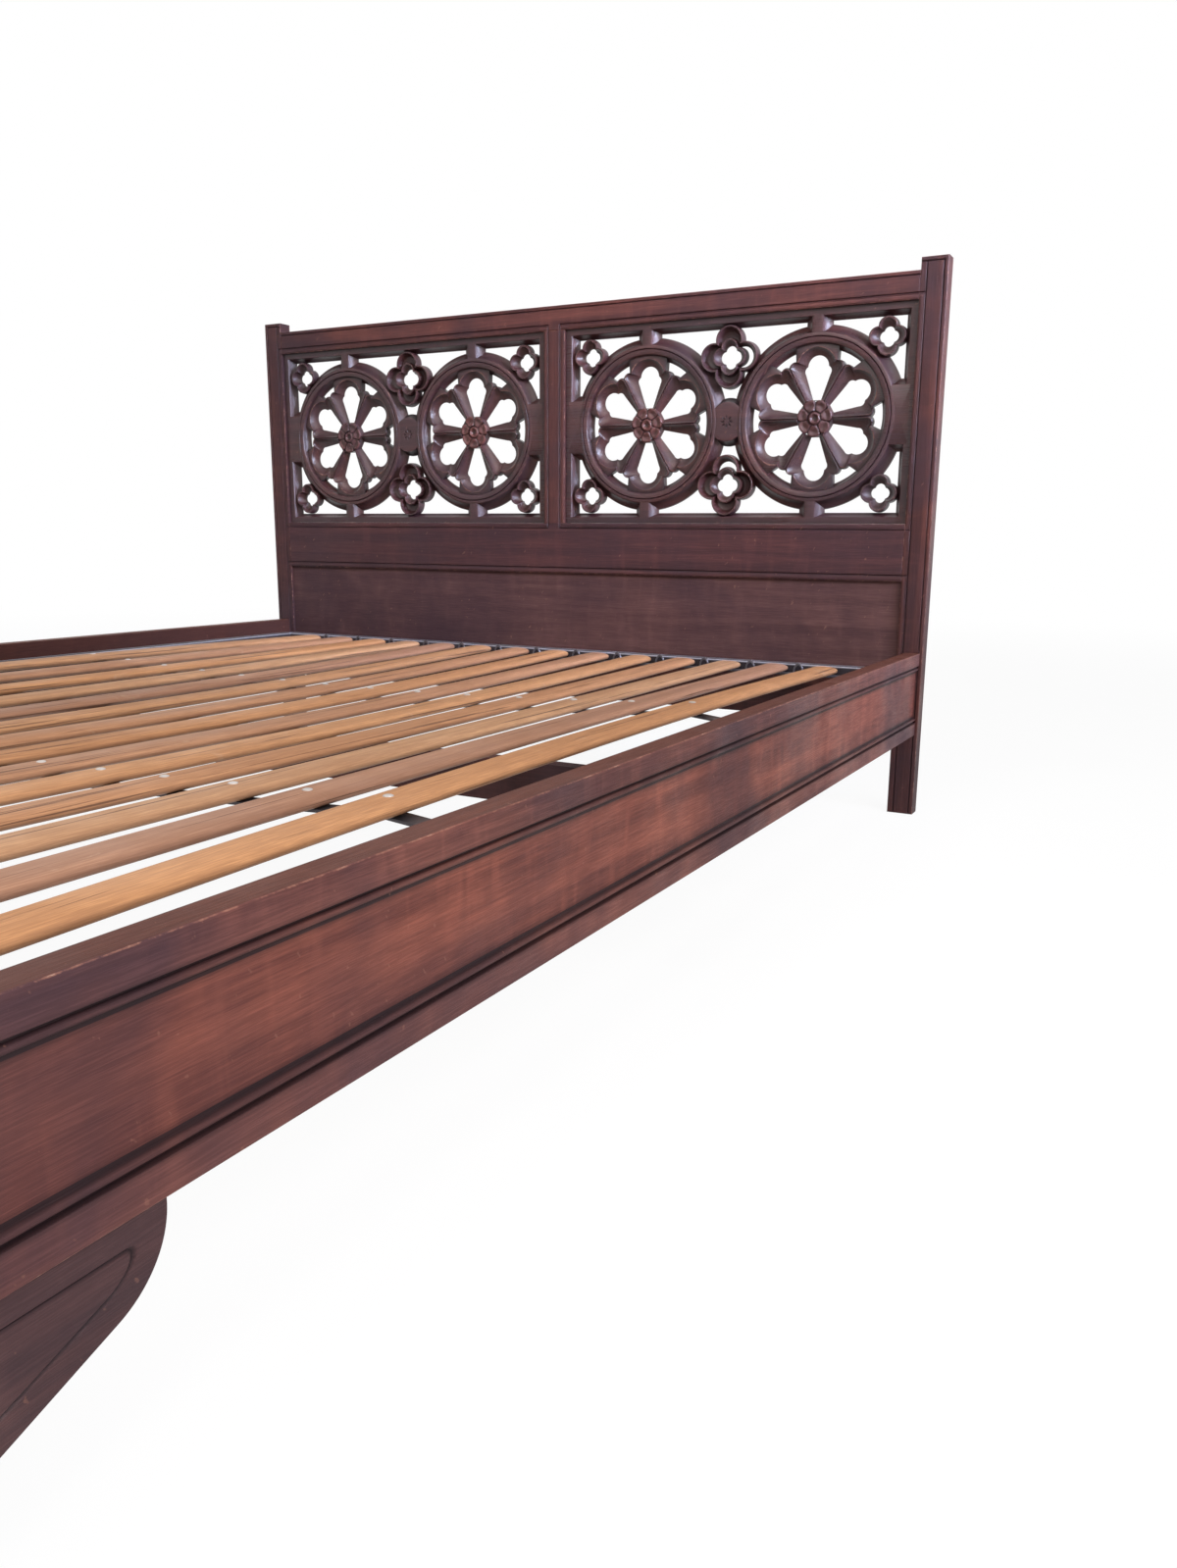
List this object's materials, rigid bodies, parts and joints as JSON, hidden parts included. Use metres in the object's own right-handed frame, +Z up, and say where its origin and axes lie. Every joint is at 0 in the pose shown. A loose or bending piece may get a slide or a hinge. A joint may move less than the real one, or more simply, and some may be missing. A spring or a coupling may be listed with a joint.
{
  "type": "double bed",
  "caption": "Low double bed with a carved, pierced rose-tracery headboard, moulded side and foot rails, shaped foot brackets and a drop-in slatted steel base.",
  "frame": {"origin": "on the floor under the middle of the bed", "axes": "+Z up, +Y towards the headboard along the bed's length, +X towards its right side seen from the foot"},
  "size_m": [1.6, 2.058, 1.008],
  "materials": {
    "stained_wood": "dark red-brown stain, waxed, worn pale on the edges",
    "rosette_wood": "dark red-brown stain, a little redder than the frame",
    "slat_wood": "planed and lightly oiled, each slat a slightly different tan",
    "grey_steel": "satin grey"
  },
  "bodies": {
    "bedstead": {"head_left_post": "stained_wood", "head_right_post": "stained_wood", "head_top_rail": "stained_wood", "head_middle_rail": "stained_wood", "head_bottom_rail": "stained_wood", "head_muntin": "stained_wood", "head_lower_panel": "stained_wood", "left_tracery_board": "stained_wood", "right_tracery_board": "stained_wood", "left_rail_board": "stained_wood", "left_rail_upper_moulding": "stained_wood", "left_rail_lower_moulding": "stained_wood", "right_rail_board": "stained_wood", "right_rail_upper_moulding": "stained_wood", "right_rail_lower_moulding": "stained_wood", "foot_rail_board": "stained_wood", "foot_rail_upper_moulding": "stained_wood", "foot_rail_lower_moulding": "stained_wood", "foot_left_leg": "stained_wood", "foot_right_leg": "stained_wood", "left_foot_bracket": "stained_wood", "right_foot_bracket": "stained_wood", "head_cleat": "stained_wood", "foot_cleat": "stained_wood", "centre_bearer": "stained_wood", "left_bearer_block": "stained_wood", "right_bearer_block": "stained_wood", "left_board_left_rosette": "rosette_wood", "left_board_right_rosette": "rosette_wood", "right_board_left_rosette": "rosette_wood", "right_board_right_rosette": "rosette_wood", "head_left_hook_plate": "grey_steel", "head_left_slot_plate": "grey_steel", "head_right_hook_plate": "grey_steel", "head_right_slot_plate": "grey_steel", "foot_left_hook_plate": "grey_steel", "foot_left_slot_plate": "grey_steel", "foot_right_hook_plate": "grey_steel", "foot_right_slot_plate": "grey_steel"},
    "slatted_base": {"base_left_iron": "grey_steel", "base_right_iron": "grey_steel", "base_head_iron": "grey_steel", "base_foot_iron": "grey_steel", "base_head_strap": "grey_steel", "base_foot_strap": "grey_steel", "slat_01": "slat_wood", "slat_02": "slat_wood", "slat_03": "slat_wood", "slat_04": "slat_wood", "slat_05": "slat_wood", "slat_06": "slat_wood", "slat_07": "slat_wood", "slat_08": "slat_wood", "slat_09": "slat_wood", "slat_10": "slat_wood", "slat_11": "slat_wood", "slat_12": "slat_wood", "slat_13": "slat_wood", "slat_14": "slat_wood"}
  },
  "joints": [
    {"name": "base_lift", "type": "slide", "parent": "bedstead", "child": "slatted_base", "axis": [0, 0, 1], "range_m": [0, 0.25]}
  ]
}
